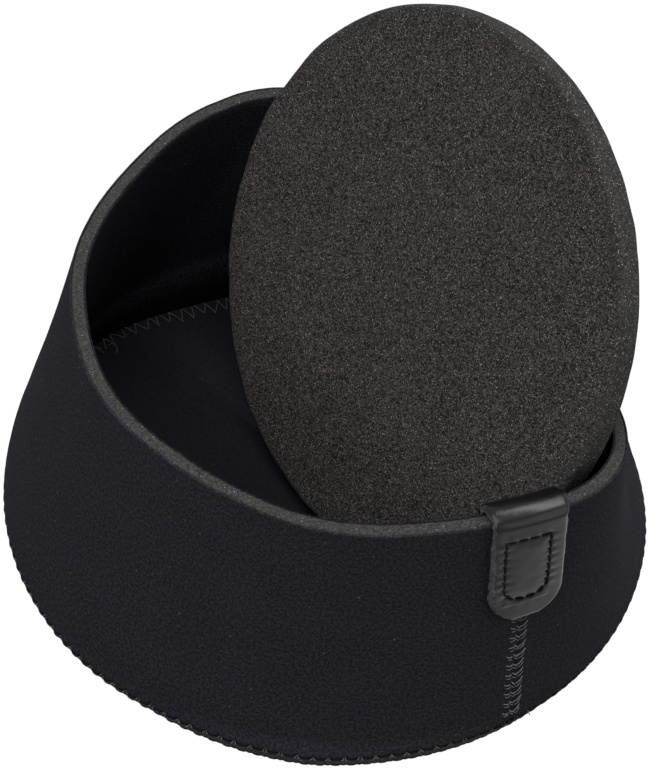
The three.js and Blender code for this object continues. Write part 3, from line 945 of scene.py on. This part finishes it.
def makeTabLeather():
    along = tabStations()
    half = tabHalfWidth(along)
    top = np.sin(np.linspace(-pi / 2, pi / 2, 49))  # finer towards the edges
    side = np.array([0.2, 0.5, 0.75]) * tab["thickness"]
    across = np.concatenate([top, [1, 1, 1], top[::-2], [-1, -1, -1]])
    lift = np.concatenate([np.full(49, tab["thickness"]), side[::-1], np.zeros(25), side])
    reach = half[:, None] * across[None, :]
    isTop = (np.arange(len(across)) < len(top))[None, :]
    cutBack = tab["cutBack"] * smoothStep(foldStart + 2, foldStart - 12, along)
    reach = np.where(isTop & (reach < 0), reach * (1 - cutBack / half)[:, None], reach)
    fromEdge = half[:, None] - np.abs(reach)
    fromEnd = np.minimum(along, tabLength - along)[:, None]
    soften = tab["edgeSoftness"] * np.exp(-np.minimum(fromEdge, fromEnd + 0.05) / 0.28)
    down = np.where(along < foldStart + foldArc / 2, foldStart - along, along - foldEnd)[:, None]
    flat = asPoints(reach, along[:, None])
    uneven = tab["uneven"] * softNoise(flat, 5.0, 9) + 0.02 * softNoise(flat, 1.6, 10)
    ragged = tab["ragged"] * softNoise(asPoints(along[:, None], lift[None, :] * 1.5), 0.9, 15)
    ragged = ragged + 0.22 * softNoise(asPoints(along[:, None]), 5.5, 16)
    reach = reach + np.sign(across)[None, :] * (np.abs(across) == 1)[None, :] * ragged
    lifted = lift[None, :] + isTop * (uneven - soften - stitchDent(reach, down))
    at = tabPoint(reach, along[:, None], lifted)
    faces = sweptFaces(*at.shape[:2])
    length = at.shape[1]
    rightSide = range(len(top) - 1, len(top) + 4)
    leftSide = (0, length - 4, length - 3, length - 2, length - 1)
    kinds = []
    for face in faces:
        columns = [corner % length for corner in face]
        isRaw = len(face) > 4 or all(c in rightSide for c in columns) or all(c in leftSide for c in columns)
        kinds.append(1 if isRaw else 0)
    surfaces = ["leather", "leatherEdge"]
    makeObject("tabLeather", at, faces, surfaces, "cap", "pull_tab", flat, kinds)


def makeTabStitches(name, node, side):
    # side is 1 on the outer leg and -1 on the inner one
    points, run, count = boxOutline()
    arch = np.sin(pi * np.linspace(0, 1, 9))
    lift = tab["thickness"] - 0.06 + 0.16 * arch ** 0.6 - 0.3 * (1 - arch ** 0.5)
    paths = []
    for i in range(count):
        spot = onOutline(points, run, (i + np.linspace(0.14, 0.86, 9)) / count * run[-1])
        along = foldStart - spot[:, 1] if side > 0 else foldEnd + spot[:, 1]
        paths.append((tabPoint(spot[:, 0], along, lift), np.tile(outward(tabAzimuth) * side, (9, 1))))
    makeStitches(name, node, paths, "tab")


makeTabLeather()
makeTabStitches("tabOuterStitches", "tab_outer_stitching", 1)
makeTabStitches("tabInnerStitches", "tab_inner_stitching", -1)
print("tab made")


# The side seam below the tab

sideSeam = {
    "pitch": 2.66,
    "low": 3.3,
    "bow": 0.16,
    "sink": 0.2,
    # the strokes of one repeat: start and end as (across, up), and whether it's of the fine thread
    "strokes": (
        ((-2.35, 0.4), (-0.85, 0.0), False), ((-2.1, -0.6), (-0.9, -0.75), True),
        ((-0.8, 0.35), (0.15, -0.45), False), ((-0.75, -0.45), (0.1, -1.2), True),
        ((0.0, -0.45), (1.75, 1.1), False), ((0.2, -1.25), (1.6, -0.1), True),
    ),
}


def sideStitch(start, end, side):
    # the thread bows between two holes; side is 1 outside and -1 inside the cup
    share = np.linspace(0, 1, 9)
    arch = np.sin(pi * share)
    azimuth = seamAzimuth + between(start[0], end[0], share) / baseRadius
    height = between(start[1], end[1], share)
    at = wallPoint(azimuth, riseAt(azimuth, height), 0 if side > 0 else sheet)
    up = outward(azimuth) * side
    lift = sideSeam["bow"] * arch ** 0.6 - sideSeam["sink"] * (1 - arch ** 0.5)
    return at + up * lift[:, None], up


def makeSideSeam(name, node, side):
    leg = tab["outerLeg"] if side > 0 else tab["innerLeg"]
    top = float(rimHeightAt(seamAzimuth)) - leg + 0.4
    rng = np.random.default_rng(13 + side)
    paths, thin = [], []
    height = sideSeam["low"] + 1.2
    while height < top - 0.9:
        for start, end, isFine in sideSeam["strokes"]:
            jitter = rng.normal(0, 0.1, 4)
            start = (start[0] + jitter[0], height + start[1] + jitter[1])
            end = (end[0] + jitter[2], height + end[1] + jitter[3])
            (thin if isFine else paths).append(sideStitch(start, end, side))
        height += sideSeam["pitch"]
    makeStitches(name, node, paths, "side")
    makeStitches(name + "Fine", node, thin, "side", "fineRadius")


makeSideSeam("sideSeamOuterStitches", "side_seam_outer_stitching", 1)
makeSideSeam("sideSeamInnerStitches", "side_seam_inner_stitching", -1)
print("side seam made")


# The foam insert

def makeDisc():
    lean, turned = math.radians(disc["lean"]), math.radians(disc["azimuth"])
    up = outward(turned) * math.cos(lean) + upward * math.sin(lean)
    face = -outward(turned) * math.sin(lean) + upward * math.cos(lean)
    side = np.cross(up, face)
    half, corner, radius = disc["thickness"] / 2, disc["edgeRound"], disc["radius"]
    flat = [np.linspace(0, radius - 8, 70), np.linspace(radius - 7.6, radius - corner - 0.3, 16)]
    flat = np.concatenate(flat)
    turn = np.linspace(0, pi / 2, 8)
    out, fall = corner * np.sin(turn), corner - corner * np.cos(turn)
    # half a section from the middle of the front face, round the edge, to the middle of the back
    reach = np.concatenate([flat, radius - corner + out, radius - fall, flat[::-1]])[None, :]
    faceLevel = np.full(len(flat), half)
    level = np.concatenate([faceLevel, half - fall, -half + corner - out, -faceLevel])[None, :]
    angle = (np.arange(disc["columns"]) / disc["columns"] * 2 * pi)[:, None]
    local = asPoints(reach * np.cos(angle), reach * np.sin(angle), level)
    near = smoothStep(radius - disc["edgeBand"], radius, reach)
    wander = disc["wander"] * softNoise(local * np.array([1, 1, 0.2]), 9, 21) * near
    cells = disc["cells"] * (softNoise(local, 0.9, 22) + 0.8 * softNoise(local, 0.5, 23))
    warp = disc["warp"] * softNoise(local * np.array([1, 1, 0]), 30, 24)
    rough = np.sign(level) * (0.22 * softNoise(local, 4, 25) * near + cells)
    scale = (reach + wander - 0.2 * near) / np.maximum(reach, 1e-6)
    across, down = local[..., 0] * scale, local[..., 1] * scale
    deep = level + warp + rough - 0.1 * np.sign(level)
    at = np.array(disc["centre"]) + across[..., None] * side + down[..., None] * up + deep[..., None] * face
    places = asPoints(across, down, reach)
    piece = makeTurned("foamInsert", at, "discFoam", "insert", "foam_insert", places)


makeDisc()
print("insert made")


# Floor, light and camera

studio = {
    "floorColour": 0.15,
    "floorWhite": 0.84,  # share of plain white that a camera ray sees on the floor
    "whiteLevel": 1.17,
    "worldStrength": 0.2,
    # each lamp in metres: place, what it's aimed at, size and watts
    "lamps": {
        "softboxTop": ((-0.1, -0.15, 2.0), (0, 0, 0.05), (1.3, 1.3), 25.0),
        "softboxLeft": ((-0.9, -1.28, 1.65), (0, 0, 0.05), (1.6, 1.6), 30.0),
        "softboxRight": ((1.6, -0.45, 0.85), (0, 0, 0.05), (1.4, 1.4), 10.0),
        "softboxFold": ((0.63, 0.62, 1.25), (0.03, -0.03, 0.05), (0.85, 0.26), 9.5),
    },
    # the photograph's camera: what it's aimed at and how far off, and its angles in degrees
    "target": (-3.05, 28.02, 0.0),
    "distance": 602.6,
    "elevation": 48.257,
    "roll": 7.729,
    "focal": 3005.87,  # in pixels of a picture this high
    "pictureHeight": 769,
}


def seenRay(tree):
    # 1 for rays that show the surroundings: camera, glossy and transmission
    path = addNode(tree, "LightPath")
    total = mathNode(tree, "ADD", path.outputs["Is Camera Ray"], path.outputs["Is Glossy Ray"])
    total = mathNode(tree, "ADD", total, path.outputs["Is Transmission Ray"])
    return mathNode(tree, "MINIMUM", total, 1.0)


def makeStage():
    bpy.ops.mesh.primitive_plane_add(size=4)
    floor = bpy.context.object
    floor.name = "studioFloor"
    material = bpy.data.materials.new("studioFloor")
    material.use_nodes = True
    tree = material.node_tree
    tree.nodes.clear()
    diffuse = addNode(tree, "BsdfDiffuse", {"Color": (*[studio["floorColour"]] * 3, 1)})
    white = addNode(tree, "Emission", {"Color": (1, 1, 1, 1), "Strength": studio["whiteLevel"]})
    share = times(tree, seenRay(tree), studio["floorWhite"])
    mixed = addNode(tree, "MixShader", {0: share, 1: diffuse.outputs[0], 2: white.outputs[0]})
    addNode(tree, "OutputMaterial", {0: mixed.outputs[0]})
    floor.data.materials.append(material)


def makeWorld():
    world = bpy.data.worlds.new("studioWorld")
    bpy.context.scene.world = world
    world.use_nodes = True
    tree = world.node_tree
    back = tree.nodes["Background"]
    back.inputs[0].default_value = (1, 1, 1, 1)
    strength = studio["worldStrength"]
    level = timesPlus(tree, seenRay(tree), 1.0 - strength, strength)
    tree.links.new(level, back.inputs[1])


def makeLamps():
    for name, (place, aim, size, power) in studio["lamps"].items():
        data = bpy.data.lights.new(name, "AREA")
        data.shape = "RECTANGLE"
        data.size, data.size_y = size
        data.energy = power
        lamp = newObject(name, data)
        lamp.location = place
        lamp.rotation_euler = (Vector(aim) - Vector(place)).to_track_quat("-Z", "Y").to_euler()


def makeCamera():
    elevation, roll = math.radians(studio["elevation"]), math.radians(studio["roll"])
    back = Vector((0, -math.cos(elevation), math.sin(elevation)))
    right = Vector((1, 0, 0))
    up = back.cross(right)
    rolledRight = right * math.cos(roll) + up * math.sin(roll)
    rolledUp = up * math.cos(roll) - right * math.sin(roll)
    place = (Vector(studio["target"]) + back * studio["distance"]) * mm
    data = bpy.data.cameras.new("photoCamera")
    data.sensor_width = 36
    data.lens = studio["focal"] / studio["pictureHeight"] * 36  # the sensor's width is the long side's
    data.clip_start, data.clip_end = 0.01, 20
    camera = newObject("photoCamera", data)
    turned = Matrix((rolledRight, rolledUp, back)).transposed()
    camera.matrix_world = Matrix.Translation(place) @ turned.to_4x4()
    bpy.context.scene.camera = camera


makeStage()
makeWorld()
makeLamps()
makeCamera()
bpy.context.scene.view_settings.view_transform = "Standard"
print("stage made")
